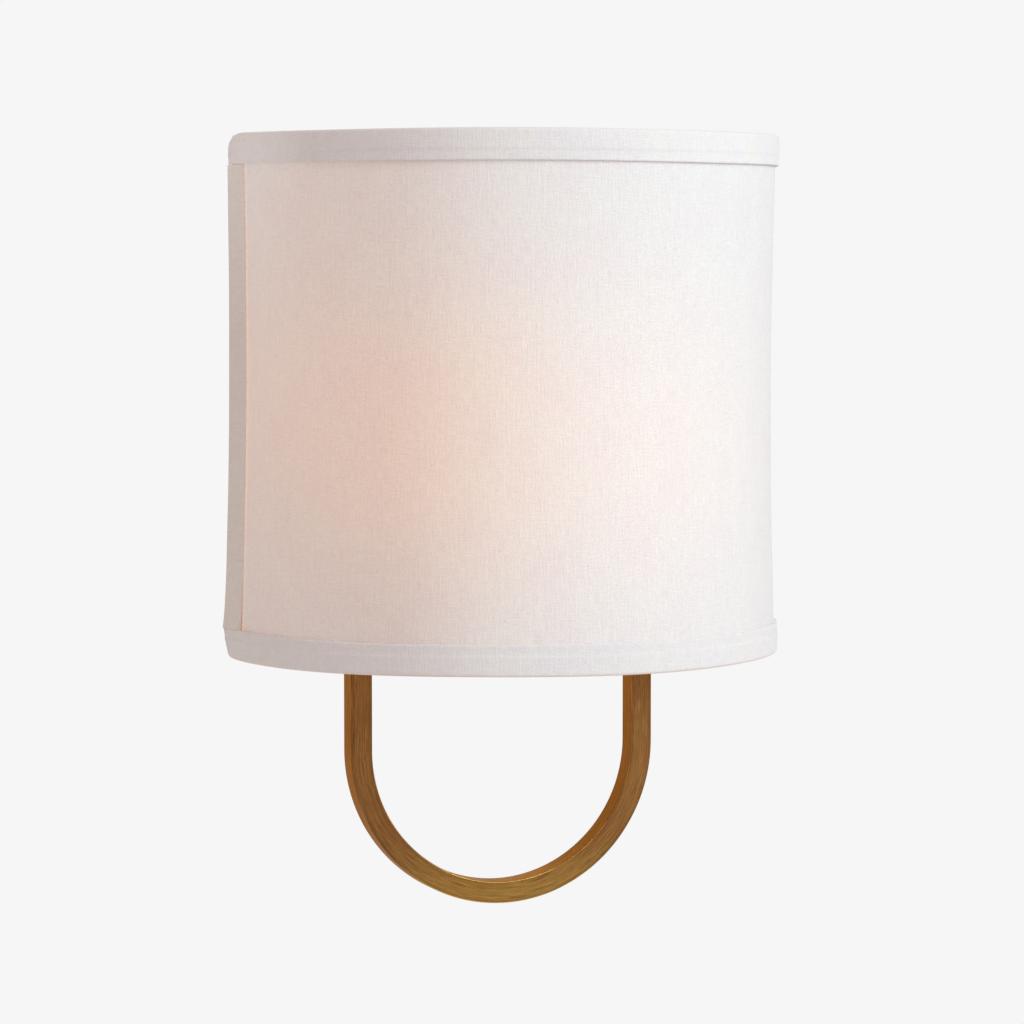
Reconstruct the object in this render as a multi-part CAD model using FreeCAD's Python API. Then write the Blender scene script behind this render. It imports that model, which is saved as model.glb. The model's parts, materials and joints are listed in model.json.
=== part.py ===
import FreeCAD, Part
import math
import os

# Two-lamp wall light: a half-round fabric shade hung in front of a U-shaped brass bar.
# X runs to the right, +Y into the wall, Z up. The origin is on the wall, at the middle of
# the canopy, level with the middle of the shade. All lengths are in millimetres.

V = FreeCAD.Vector
UP = V(0, 0, 1)
DOWN = V(0, 0, -1)
FRONT = V(0, -1, 0)
RIGHT = V(1, 0, 0)

# Clearances
glued = 0.1              # between layers that are glued or bound together
running = 0.3            # between pieces that move past each other

# Shade
shade_radius = 138.0     # outer face of the bound edges
shade_height = 254.0
shade_off_wall = 9.0     # back edges of the fabric, in front of the wall
shade_bow = 2.0          # how far the wall draws in at mid height
edge_width = 15.0        # bound edges, top, bottom and sides
edge_thickness = 1.5
edge_turn = 0.9          # thickness of the cloth where it turns over the rim
edge_turn_in = 8.0       # height of the cloth turned to the inside
fabric_thickness = 0.7
liner_thickness = 0.6
frame_wire = 3.0

# Bar stock of the loop, the cross arm and the lamp arms
bar_width = 10.8
bar_depth = 12.7
bar_wall = 1.2
bar_edge = 0.7
bar_off_wall = 2.6
leg_spacing = 147.0      # between the centre lines of the two legs
loop_drop = 174.6        # centre of the bend, below the origin
leg_above_arm = 4.0      # legs end this far above the cross arm
plug_plate = 2.0
wire_hole = 6.0

# Canopy, strap and what holds them
canopy_diameter = 120.0
canopy_wall = 1.2
canopy_step = 5.0
canopy_step_in = 3.0
canopy_round = 5.0
strap_length = 108.0
strap_width = 22.0
strap_thickness = 2.0
box_slot_spacing = 79.4
box_slot_travel = 9.6    # centre-to-centre length of each slot
box_slot_width = 4.8
strap_centre_hole = 13.0
stud_diameter = 4.0
stud_spacing = 54.0
stud_length = 22.0
nut_across_flats = 7.0
nut_height = 3.0
cap_nut_diameter = 9.5
cap_nut_height = 8.5
ground_screw_height = 13.5
ground_head = 7.5

# Threaded tubes
nipple_diameter = 8.0
nipple_bore = 5.6
locknut_across_flats = 12.0
locknut_height = 3.0

# Lamps
lamp_drop = 103.0        # centre of the lamp arms, below the origin
lamp_off_wall = 57.0     # lamp axis, in front of the wall
arm_past_lamp = 10.0
cup_diameter = 31.0
cup_height = 8.0
cup_floor = 1.5
sleeve_diameter = 22.0
sleeve_wall = 1.0
sleeve_length = 52.0
holder_diameter = 18.4
holder_head_room = 2.0   # holder stops this far below the sleeve's rim
holder_foot_height = 12.0
holder_foot_in = 2.0     # the foot is this much smaller in radius than the head
nipple_in_holder = 8.0
screw_shell_bore = 12.6
screw_shell_wall = 0.6
screw_shell_length = 15.0
screw_shell_lip = 1.0    # rolled lip on top of the holder
screw_shell_lip_height = 0.6
holder_contact = 1.2
bulb_cap_diameter = 11.9
bulb_cap_length = 15.0
bulb_cap_rings = 4
bulb_cap_wall = 0.8
bulb_tip = 2.2
bulb_length = 80.0       # glass, from the cap to its point
bulb_diameter = 35.0
glass_wall = 0.8
stem_diameter = 5.0
stem_wide_height = 18.0
stem_height = 34.0
filament_wire = 0.6
filament_reach = 5.0     # half the width of the filament's loop
filament_rise = 6.0      # centre of the loop, above the stem
filament_foot = 6.0      # the posts leave the stem this far below its top

# Shade hanger
hanger_thickness = 1.5
hanger_height = 12.0
hanger_bend = 4.0
keyhole_spacing = 80.0
keyhole_plate = 22.0
shade_lift = 10.0        # lift that frees the keyholes from the studs
keyhole_margin = 4.0
thumb_nut_diameter = 12.0
thumb_nut_length = 8.0
thumb_nut_flutes = 14
flute_diameter = 1.8

# Wiring
lead_diameter = 2.2
lead_bend = 4.0
lead_pair_spacing = 2.8
connector_length = 18.0
connector_mouth = 9.0
connector_tip = 5.5
connector_place = 26.0

# Places worked out from the sizes above
shade_y = -shade_off_wall
half_height = shade_height / 2
wall_half = half_height - edge_turn - glued
edge_inner = shade_radius - edge_thickness
fabric_outer = edge_inner - glued
liner_outer = fabric_outer - fabric_thickness - glued
liner_inner = liner_outer - liner_thickness
wire_centre = liner_inner - glued - frame_wire / 2
leg_x = leg_spacing / 2
leg_y = -(bar_off_wall + bar_depth / 2)
bar_front = -(bar_off_wall + bar_depth)
canopy_front = bar_front
arm_y = bar_front - bar_depth / 2
arm_front = bar_front - bar_depth
leg_top = bar_width / 2 + leg_above_arm
lamp_y = -lamp_off_wall
lamp_arm_end = lamp_y - arm_past_lamp
lamp_arm_top = -lamp_drop + bar_depth / 2
cup_top = lamp_arm_top + cup_height
sleeve_foot = lamp_arm_top + cup_floor
sleeve_top = sleeve_foot + sleeve_length
holder_top = sleeve_top - holder_head_room
shell_foot = holder_top - screw_shell_length
bulb_cap_foot = shell_foot + running
bulb_seat = bulb_cap_foot + bulb_cap_length
contact_top = bulb_cap_foot - bulb_tip - running
hanger_rear = arm_front - running
hanger_front = hanger_rear - hanger_thickness
nipple_rear = canopy_front + canopy_wall + locknut_height + 1
wiring_y = nipple_rear + lead_bend + glued


def box(x_range, y_range, z_range):
    size = [high - low for low, high in (x_range, y_range, z_range)]
    return Part.makeBox(*size, V(x_range[0], y_range[0], z_range[0]))


def rod(start, direction, length, diameter):
    return Part.makeCylinder(diameter / 2, length, start, direction)


def turned(profile, at, axis=UP):
    """Solid of revolution. The profile is a list of (radius, height) along the axis."""
    points = [V(radius, 0, height) for radius, height in profile]
    face = Part.Face(Part.makePolygon(points + points[:1]))
    solid = face.revolve(V(0, 0, 0), UP, 360)
    solid.Placement = FreeCAD.Placement(at, FreeCAD.Rotation(UP, axis))
    return solid


def hexagon(across_flats, height, at, axis, bore):
    """Hexagon nut with a bore."""
    corner = across_flats / math.sqrt(3)
    angles = [math.radians(60 * turn) for turn in range(7)]
    wire = Part.makePolygon([V(corner * math.cos(a), corner * math.sin(a), 0) for a in angles])
    nut = Part.Face(wire).extrude(V(0, 0, height))
    nut = nut.cut(rod(V(0, 0, 0), UP, height, bore))
    nut.Placement = FreeCAD.Placement(at, FreeCAD.Rotation(UP, axis))
    return nut


def mirrored(shape):
    return shape.mirror(V(0, 0, 0), RIGHT)


def both_sides(shape):
    return Part.Compound([shape, mirrored(shape)])


def rounded_rectangle(width, depth, radius):
    """Wire in the XY plane, centred on the origin."""
    x, y = width / 2, depth / 2
    edges = []
    for turn, (a, b) in enumerate(((x, y), (y, x), (x, y), (y, x))):
        line = Part.makeLine(V(a, -b + radius, 0), V(a, b - radius, 0))
        arc = Part.makeCircle(radius, V(a - radius, b - radius, 0), UP, 0, 90)
        for edge in (line, arc):
            edge.rotate(V(0, 0, 0), UP, 90 * turn)
            edges.append(edge)
    return Part.Wire(Part.__sortEdges__(edges))


def bar_section(inset):
    """Face of the bar stock, or of its hollow when inset by the wall."""
    corner = max(bar_edge - inset, 0.3)
    wire = rounded_rectangle(bar_width - 2 * inset, bar_depth - 2 * inset, corner)
    return Part.Face(wire)


def straight_bar(start, direction, length, width_along):
    """Tube of bar stock. Its width, the narrow way, lies along width_along."""
    outer = bar_section(0).extrude(V(0, 0, length))
    inner = bar_section(bar_wall).extrude(V(0, 0, length))
    tube = outer.cut(inner)
    across = width_along.cross(direction) * -1
    turn = FreeCAD.Rotation(width_along, across, direction, "ZXY")
    tube.Placement = FreeCAD.Placement(start, turn)
    return tube


def bar_plug(at, outward, width_along, spigot_length):
    """End plug: a face plate with eased edges on a hollow spigot that fits the tube."""
    plate = bar_section(0).extrude(V(0, 0, plug_plate))
    rim = [edge for edge in plate.Edges if edge.CenterOfMass.z > plug_plate - 1e-6]
    plate = plate.makeFillet(plug_plate * 0.4, rim)
    spigot = bar_section(bar_wall + glued).extrude(V(0, 0, -spigot_length))
    core = bar_section(2 * bar_wall + glued).extrude(V(0, 0, -spigot_length))
    plug = plate.fuse(spigot.cut(core)).removeSplitter()
    across = width_along.cross(outward) * -1
    turn = FreeCAD.Rotation(width_along, across, outward, "ZXY")
    plug.Placement = FreeCAD.Placement(at, turn)
    return plug


def loop_solid(inset, top):
    """The U of the bar: two legs and the half-round bend."""
    section = bar_section(inset)
    section.translate(V(leg_x, leg_y, -loop_drop))
    leg = section.extrude(V(0, 0, top + loop_drop))
    bend = section.revolve(V(0, leg_y, -loop_drop), V(0, 1, 0), 180)
    return leg.fuse([bend, mirrored(leg)]).removeSplitter()


def u_bar():
    loop = loop_solid(0, leg_top).cut(loop_solid(bar_wall, leg_top + 1))
    for height in (0, -lamp_drop):
        hole = rod(V(leg_x, leg_y, height), FRONT, bar_depth, wire_hole)
        loop = loop.cut(both_sides(hole))
    return loop


def cross_arm():
    """Tube across the legs and the canopy, with holes for the wires, nipple and studs."""
    half = leg_x + bar_width / 2
    arm = straight_bar(V(-half, arm_y, 0), RIGHT, 2 * half, UP)
    arm = arm.cut(both_sides(rod(V(leg_x, arm_y, 0), V(0, 1, 0), bar_depth, wire_hole)))
    arm = arm.cut(rod(V(0, arm_y, 0), V(0, 1, 0), bar_depth, nipple_diameter))
    stud_hole = rod(V(keyhole_spacing / 2, arm_y, 0), FRONT, bar_depth, stud_diameter)
    return arm.cut(both_sides(stud_hole))


def lamp_arm_right():
    length = bar_front - lamp_arm_end
    arm = straight_bar(V(leg_x, bar_front, -lamp_drop), FRONT, length, RIGHT)
    nipple_hole = rod(V(leg_x, lamp_y, -lamp_drop), UP, bar_depth, nipple_diameter)
    return arm.cut(nipple_hole)


def canopy():
    """Stepped round pan, open to the wall."""
    outer_radius = canopy_diameter / 2
    step_radius = outer_radius - canopy_step_in
    depth = -canopy_front

    def pan(inset):
        r0, r1, d = outer_radius - inset, step_radius - inset, depth - inset
        step = canopy_step - inset
        bend = canopy_round - inset
        corner = V(r1 - bend, 0, d - bend)
        middle = corner + V(bend * math.sqrt(0.5), 0, bend * math.sqrt(0.5))
        edges = [
            Part.makePolygon([V(0, 0, d), V(0, 0, 0), V(r0, 0, 0), V(r0, 0, step), V(r1, 0, step),
                              V(r1, 0, d - bend)]),
            Part.Arc(V(r1, 0, d - bend), middle, V(r1 - bend, 0, d)).toShape(),
            Part.makeLine(V(r1 - bend, 0, d), V(0, 0, d)),
        ]
        flat = [edge for item in edges for edge in item.Edges]
        return Part.Face(Part.Wire(flat)).revolve(V(0, 0, 0), UP, 360)

    shell = pan(0).cut(pan(canopy_wall))
    shell.Placement = FreeCAD.Placement(V(0, 0, 0), FreeCAD.Rotation(UP, FRONT))
    shell = shell.cut(rod(V(0, 0, 0), FRONT, depth, nipple_diameter))
    for side in (-1, 1):
        hole = rod(V(0, 0, side * stud_spacing / 2), FRONT, depth, stud_diameter + running)
        shell = shell.cut(hole)
    return shell


def mounting_strap():
    """Steel strap behind the canopy, slotted for the screws of a wall box."""
    plate = box((-strap_width / 2, strap_width / 2), (-strap_thickness, 0),
                (-strap_length / 2, strap_length / 2))
    corners = [edge for edge in plate.Edges if abs(edge.Length - strap_thickness) < 1e-6]
    plate = plate.makeFillet(strap_width * 0.25, corners)
    plate = plate.cut(rod(V(0, 0, 0), FRONT, strap_thickness, strap_centre_hole))
    for side in (-1, 1):
        middle = side * box_slot_spacing / 2
        ends = (middle - box_slot_travel / 2, middle + box_slot_travel / 2)
        for end in ends:
            plate = plate.cut(rod(V(0, 0, end), FRONT, strap_thickness, box_slot_width))
        half = box_slot_width / 2
        plate = plate.cut(box((-half, half), (-strap_thickness, 0), ends))
        stud_hole = rod(V(0, 0, side * stud_spacing / 2), FRONT, strap_thickness, stud_diameter)
        plate = plate.cut(stud_hole)
    return plate.cut(rod(V(0, 0, ground_screw_height), FRONT, strap_thickness, stud_diameter))


def strap_studs():
    studs = []
    for side in (-1, 1):
        stud = rod(V(0, 0, side * stud_spacing / 2), FRONT, stud_length, stud_diameter)
        tip = [edge for edge in stud.Edges if abs(edge.CenterOfMass.y + stud_length) < 1e-6]
        studs.append(stud.makeChamfer(stud_diameter * 0.12, tip))
    return Part.Compound(studs)


def stud_nuts():
    place = -strap_thickness
    return Part.Compound([
        hexagon(nut_across_flats, nut_height, V(0, place, side * stud_spacing / 2), FRONT,
                stud_diameter) for side in (-1, 1)])


def cap_nut(side):
    """Domed nut that holds the canopy on its stud."""
    radius, height = cap_nut_diameter / 2, cap_nut_height
    bore, depth = stud_diameter / 2, stud_length + canopy_front + glued
    dome = [(radius * math.cos(math.radians(a)), height - radius + radius * math.sin(math.radians(a)))
            for a in range(0, 90, 15)]
    profile = [(bore, 0), (radius, 0), (radius, 1)] + dome + [(0, height), (0, depth), (bore, depth)]
    return turned(profile, V(0, canopy_front, side * stud_spacing / 2), FRONT)


def ground_screw():
    """Slotted screw on the strap for the earth wire."""
    at = V(0, 0, ground_screw_height)
    head_radius, foot = ground_head / 2, strap_thickness
    profile = [(0, 0), (stud_diameter / 2, 0), (stud_diameter / 2, foot), (head_radius, foot),
               (head_radius, foot + 1.6), (head_radius - 1, foot + 2.6), (0, foot + 2.6)]
    screw = turned(profile, at, FRONT)
    slot = box((-head_radius, head_radius), (-foot - 3, -foot - 1.4),
               (ground_screw_height - 0.6, ground_screw_height + 0.6))
    return screw.cut(slot)


def threaded_tube(start, direction, length):
    tube = rod(start, direction, length, nipple_diameter)
    return tube.cut(rod(start, direction, length, nipple_bore))


def centre_nipple():
    front = canopy_front - bar_wall - 1
    return threaded_tube(V(0, nipple_rear, 0), FRONT, nipple_rear - front)


def centre_locknut():
    at = V(0, canopy_front + canopy_wall + locknut_height, 0)
    return hexagon(locknut_across_flats, locknut_height, at, FRONT, nipple_diameter)


def lamp_nipple_right():
    below = bar_wall + 1
    above = cup_floor + nipple_in_holder
    return threaded_tube(V(leg_x, lamp_y, lamp_arm_top - below), UP, below + above)


def lamp_cup_right():
    """Turned cup that the candle sleeve stands in."""
    radius, bore = cup_diameter / 2, nipple_diameter / 2
    foot = bar_width / 2
    profile = [(bore, 0), (foot, 0), (foot + 2, 0.8), (radius - 3, 3.2), (radius - 0.8, 5.4),
               (radius, cup_height - 0.6), (radius - 0.6, cup_height), (radius - 1.6, cup_height),
               (radius - 2.4, 5.8), (radius - 4.2, 4.2), (sleeve_diameter / 2 + glued, 3.2),
               (sleeve_diameter / 2 + glued, cup_floor), (bore, cup_floor)]
    return turned(profile, V(leg_x, lamp_y, lamp_arm_top))


def candle_sleeve_right():
    radius = sleeve_diameter / 2
    lip = sleeve_length - 1.5
    profile = [(radius - sleeve_wall, 0), (radius, 0), (radius, lip), (radius - 0.4, sleeve_length),
               (radius - sleeve_wall, sleeve_length)]
    return turned(profile, V(leg_x, lamp_y, sleeve_foot))


def lamp_holder_right():
    """Insulating body that stands on the nipple and carries the screw shell."""
    radius = holder_diameter / 2
    shell_radius = screw_shell_bore / 2 + screw_shell_wall + glued
    foot_radius, foot = radius - holder_foot_in, holder_foot_height
    floor = contact_top - holder_contact - sleeve_foot
    top = holder_top - sleeve_foot
    shell_seat = shell_foot - sleeve_foot
    profile = [(nipple_diameter / 2, 0), (foot_radius, 0), (foot_radius, foot),
               (radius, foot + holder_foot_in),
               (radius, top - 1), (radius - 1, top), (shell_radius, top), (shell_radius, shell_seat),
               (bulb_cap_diameter / 2 - 1, shell_seat), (bulb_cap_diameter / 2 - 1, floor),
               (nipple_bore / 2, floor), (nipple_bore / 2, nipple_in_holder),
               (nipple_diameter / 2, nipple_in_holder)]
    return turned(profile, V(leg_x, lamp_y, sleeve_foot))


def screw_shell_right():
    """Metal shell that the bulb screws into, with a lip on the holder's top."""
    inner = screw_shell_bore / 2
    outer, lip = inner + screw_shell_wall, inner + screw_shell_wall + screw_shell_lip
    top = screw_shell_length + screw_shell_lip_height
    profile = [(inner, 0), (outer, 0), (outer, screw_shell_length), (lip, screw_shell_length),
               (lip, top), (inner, top)]
    return turned(profile, V(leg_x, lamp_y, shell_foot))


def holder_contact_right():
    """Centre contact: a sprung disc with a raised middle, over the wire's end."""
    outer = bulb_cap_diameter / 2 - 1 - glued
    profile = [(0, 0), (outer, 0), (outer, 0.5), (2.4, 0.5), (1.6, holder_contact),
               (0, holder_contact)]
    return turned(profile, V(leg_x, lamp_y, contact_top - holder_contact))


def glass_outline(inset):
    """Half section of the flame-shaped bulb, as a curve from its neck to its point."""
    neck = bulb_cap_diameter / 2 - 0.5 - inset
    wide = bulb_diameter / 2 - inset
    top = bulb_length - inset
    points = [V(neck, 0, 0), V(neck + 0.15 * (wide - neck), 0, 0.08 * bulb_length),
              V(wide * 0.86, 0, 0.24 * bulb_length), V(wide, 0, 0.40 * bulb_length),
              V(wide * 0.72, 0, 0.68 * bulb_length), V(wide * 0.3, 0, 0.9 * bulb_length),
              V(0, 0, top)]
    curve = Part.BSplineCurve()
    curve.interpolate(points, InitialTangent=V(0, 0, 1), FinalTangent=V(-1, 0, 0.15))
    return curve.toShape()


def bulb_glass_right():
    solids = []
    for inset in (0, glass_wall):
        neck = bulb_cap_diameter / 2 - 0.5 - inset
        top = bulb_length - inset
        line = Part.makePolygon([V(0, 0, top), V(0, 0, 0), V(neck, 0, 0)])
        wire = Part.Wire(Part.__sortEdges__(line.Edges + [glass_outline(inset)]))
        solids.append(Part.Face(wire).revolve(V(0, 0, 0), UP, 360))
    glass = solids[0].cut(solids[1])
    glass.translate(V(leg_x, lamp_y, bulb_seat + glued))
    return glass


def bulb_cap_right():
    """Screw cap of the bulb, with the rings of its rolled thread."""
    radius = bulb_cap_diameter / 2
    wall = bulb_cap_wall
    pitch = (bulb_cap_length - 4) / bulb_cap_rings
    outline = [(radius - wall - 0.6, 0), (radius - 1.4, 0)]
    for ring in range(bulb_cap_rings):
        low = 1 + ring * pitch
        outline += [(radius - 0.5, low), (radius, low + pitch / 2)]
    outline += [(radius - 0.5, bulb_cap_length - 3), (radius - 0.2, bulb_cap_length)]
    outline += [(radius - wall - 0.6, bulb_cap_length)]
    return turned(outline, V(leg_x, lamp_y, bulb_cap_foot))


def bulb_contact_right():
    """Insulating button and centre contact at the foot of the cap."""
    button = bulb_cap_diameter / 2 - 1.8
    profile = [(0, -bulb_tip), (1.4, -bulb_tip), (2.0, -bulb_tip + 0.8), (button, 0), (button, 1),
               (0, 1)]
    return turned(profile, V(leg_x, lamp_y, bulb_cap_foot))


def bulb_filament_right():
    """Glass stem with two straight supports and the filament's loop between them."""
    at = V(leg_x, lamp_y, bulb_cap_foot + 1 + glued)
    wide, slim = stem_diameter / 2, stem_diameter / 4
    stem = turned([(0, 0), (wide, 0), (wide, stem_wide_height), (slim, stem_height),
                   (0, stem_height)], at)
    loop_height = stem_height + filament_rise
    arc = Part.makeCircle(filament_reach, V(0, 0, loop_height), FRONT, 0, 180)
    posts = [Part.makeLine(V(side * filament_reach, 0, loop_height),
                           V(side * slim, 0, stem_height - filament_foot)) for side in (-1, 1)]
    path = Part.Wire(Part.__sortEdges__([posts[0], arc, posts[1]]))
    start = path.OrderedVertexes[0].Point
    tangent = path.OrderedEdges[0].tangentAt(path.OrderedEdges[0].FirstParameter)
    profile = Part.Wire(Part.makeCircle(filament_wire / 2, start, tangent))
    loop = path.makePipeShell([profile], True, True)
    loop.translate(at)
    return stem.fuse(loop).removeSplitter()


def bow(height):
    """How far the shade's wall draws in at a height above its middle."""
    return shade_bow * (1 - (height / wall_half) ** 2)


def bowed_face(inner, outer, reach):
    """Section of a layer of the shade's wall, from -reach to +reach."""
    def side(radius):
        ends = radius - bow(reach)
        return [V(ends, shade_y, -reach), V(radius - shade_bow, shade_y, 0), V(ends, shade_y, reach)]
    out, inn = side(outer), side(inner)
    edges = [Part.Arc(*out).toShape(), Part.makeLine(out[2], inn[2]), Part.Arc(*inn).toShape(),
             Part.makeLine(inn[0], out[0])]
    return Part.Face(Part.Wire(Part.__sortEdges__(edges)))


def round_shade(face, start, sweep):
    """Turn a section about the shade's axis. Angles run from the right back edge forwards."""
    face = face.copy()
    face.rotate(V(0, shade_y, 0), DOWN, start)
    return face.revolve(V(0, shade_y, 0), DOWN, sweep)


def shade_fabric():
    return round_shade(bowed_face(fabric_outer - fabric_thickness, fabric_outer, wall_half), 0, 180)


def shade_liner():
    return round_shade(bowed_face(liner_inner, liner_outer, wall_half), 0, 180)


def degrees_along(length):
    return math.degrees(length / fabric_outer)


def rim_binding():
    """Bound edge of the top rim: cloth outside, over the rim and turned in, closed at its ends."""
    rim, low = half_height, half_height - edge_width
    turned_outer = wire_centre - frame_wire / 2 - glued - bow(rim - edge_turn_in)
    turned_inner = turned_outer - edge_turn
    outline = [(turned_inner, rim - edge_turn_in), (turned_inner, rim), (shade_radius, rim),
               (shade_radius, low), (edge_inner, low), (edge_inner, rim - edge_turn),
               (turned_outer, rim - edge_turn), (turned_outer, rim - edge_turn_in)]
    points = [V(radius, shade_y, height) for radius, height in outline]
    band = round_shade(Part.Face(Part.makePolygon(points + points[:1])), 0, 180)
    end = [V(radius, shade_y, height) for radius, height in (
        (turned_inner, low), (turned_inner, rim), (shade_radius, rim), (shade_radius, low))]
    end_face = Part.Face(Part.makePolygon(end + end[:1]))
    cap = round_shade(end_face, -degrees_along(edge_turn), degrees_along(edge_turn))
    band = band.fuse([cap, mirrored(cap)]).removeSplitter()
    rounded = [edge for edge in band.Edges if abs(edge.CenterOfMass.z - rim) < 1e-6
               and edge.Length > shade_radius * 3]
    return band.makeFillet(edge_turn * 0.6, rounded)


def side_binding_right():
    """Bound back edge between the two rims: cloth outside and turned round the upright."""
    reach = half_height - edge_width - glued
    outer = bowed_face(edge_inner, shade_radius - glued, reach)
    turned_back = bowed_face(wire_centre - frame_wire / 2, shade_radius - glued, reach)
    leaf = round_shade(outer, 0, degrees_along(edge_width))
    wrap = round_shade(turned_back, -degrees_along(edge_turn), degrees_along(edge_turn))
    return leaf.fuse(wrap).removeSplitter()


def rim_wire():
    circle = Part.makeCircle(frame_wire / 2, V(wire_centre, shade_y, wall_half - frame_wire / 2),
                             V(0, 1, 0))
    return round_shade(Part.Face(Part.Wire(circle)), 0, 180)


def upright_right():
    """Wire up the back edge, between the two rim wires."""
    reach = wall_half - frame_wire
    y = shade_y - frame_wire / 2 - glued
    ends = wire_centre - bow(reach)
    path = Part.Wire(Part.Arc(V(ends, y, -reach), V(wire_centre - shade_bow, y, 0),
                              V(ends, y, reach)).toShape())
    circle = Part.Wire(Part.makeCircle(frame_wire / 2, V(ends, y, -reach), UP))
    return path.makePipeShell([circle], True, True)


def shade_hanger():
    """Flat strap between the uprights, with a keyhole plate over each stud."""
    outer_x = wire_centre - shade_bow - frame_wire / 2 - glued
    rear = shade_y - frame_wire

    def bent(inset, bend):
        reach = outer_x - inset
        solid = box((-reach, reach), (hanger_front + inset, rear),
                    (-hanger_height / 2, hanger_height / 2))
        corners = [edge for edge in solid.Edges if abs(edge.Length - hanger_height) < 1e-6
                   and edge.CenterOfMass.y < hanger_rear + 1]
        return solid.makeFillet(bend, corners)

    strap = bent(0, hanger_bend).cut(bent(hanger_thickness, hanger_bend - hanger_thickness))
    entry = thumb_nut_diameter / 2 + 2 * running
    low, high = -shade_lift - entry - keyhole_margin, hanger_height / 2 + 1
    centre = keyhole_spacing / 2
    plate = box((centre - keyhole_plate / 2, centre + keyhole_plate / 2), (hanger_front, hanger_rear),
                (low, high))
    corners = [edge for edge in plate.Edges if abs(edge.Length - hanger_thickness) < 1e-6]
    plate = plate.makeFillet(5, corners)
    strap = strap.fuse([plate, mirrored(plate)]).removeSplitter()
    neck = stud_diameter / 2 + running
    hole = rod(V(centre, hanger_rear, -shade_lift), FRONT, hanger_thickness, 2 * entry)
    slot = box((centre - neck, centre + neck), (hanger_front, hanger_rear), (-shade_lift, 0))
    top = rod(V(centre, hanger_rear, 0), FRONT, hanger_thickness, 2 * neck)
    for cut in (hole, slot, top):
        strap = strap.cut(both_sides(cut))
    return strap


def shade_studs():
    """Threaded studs riveted into the cross arm's front wall."""
    nut_end = -hanger_front + running + thumb_nut_length
    inside = -arm_front - bar_wall
    profile = [(0, inside - 1), (3.4, inside - 1), (3.4, inside), (stud_diameter / 2, inside),
               (stud_diameter / 2, nut_end + 3), (stud_diameter / 2 - 0.7, nut_end + 4),
               (0, nut_end + 4)]
    stud = turned(profile, V(keyhole_spacing / 2, 0, 0), FRONT)
    return both_sides(stud)


def thumb_nut_right():
    """Knurled nut that clamps the hanger: a fluted head with a collar behind."""
    radius, bore = thumb_nut_diameter / 2, stud_diameter / 2 + 0.2
    profile = [(bore, 0), (radius - 1.5, 0), (radius - 1.5, 1.6), (radius, 2.2),
               (radius, thumb_nut_length - 0.8), (radius - 0.8, thumb_nut_length),
               (bore, thumb_nut_length)]
    at = V(keyhole_spacing / 2, hanger_front - running, 0)
    nut = turned(profile, at, FRONT)
    for flute in range(thumb_nut_flutes):
        angle = 2 * math.pi * flute / thumb_nut_flutes
        offset = V(math.cos(angle), 0, math.sin(angle)) * (radius + flute_diameter * 0.2)
        nut = nut.cut(rod(at + offset, FRONT, thumb_nut_length, flute_diameter))
    return nut


def rounded_path(points, bend):
    """Straight runs joined by tangent arcs of one radius."""
    edges, start = [], points[0]
    for before, corner, after in zip(points, points[1:], points[2:]):
        into, out = (corner - before).normalize(), (after - corner).normalize()
        half_turn = into.getAngle(out) / 2
        setback = bend * math.tan(half_turn)
        first, last = corner - into * setback, corner + out * setback
        inward = (out - into).normalize()
        middle = corner + inward * (bend / math.cos(half_turn) - bend)
        edges += [Part.makeLine(start, first), Part.Arc(first, middle, last).toShape()]
        start = last
    return Part.Wire(edges + [Part.makeLine(start, points[-1])])


def lead_right():
    """Lamp wire: holder, lamp arm, leg, cross arm, nipple and into the canopy."""
    pair_x = lead_pair_spacing / 2
    points = [V(leg_x, lamp_y, contact_top - holder_contact - glued), V(leg_x, lamp_y, -lamp_drop),
              V(leg_x, leg_y, -lamp_drop), V(leg_x, leg_y, 0), V(leg_x, arm_y, 0),
              V(pair_x, arm_y, 0), V(pair_x, wiring_y, 0), V(connector_place, wiring_y, 0)]
    path = rounded_path(points, lead_bend)
    circle = Part.Wire(Part.makeCircle(lead_diameter / 2, points[0], DOWN))
    lead = path.makePipeShell([circle], True, False)
    section = math.pi * lead_diameter ** 2 / 4
    print("lead: volume over section times length", round(lead.Volume / section / path.Length, 4))
    return lead


def wire_connector_right():
    """Ribbed screw-on connector over the lead's end."""
    mouth, tip, length = connector_mouth / 2, connector_tip / 2, connector_length
    profile = [(0, 0), (mouth, 0), (mouth, 3), (mouth - 0.8, 3.8), (tip + 0.3, length - 1.5),
               (tip - 0.7, length), (0, length)]
    at = V(connector_place, wiring_y, 0)
    connector = turned(profile, at, RIGHT)
    for rib in range(4):
        angle = math.pi / 4 + rib * math.pi / 2
        offset = V(4.5, math.cos(angle) * mouth, math.sin(angle) * mouth)
        connector = connector.cut(rod(at + offset, RIGHT, length, 1.6))
    return connector


def below(shape):
    """The same piece on the lower rim."""
    return shape.mirror(V(0, 0, 0), UP)


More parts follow.
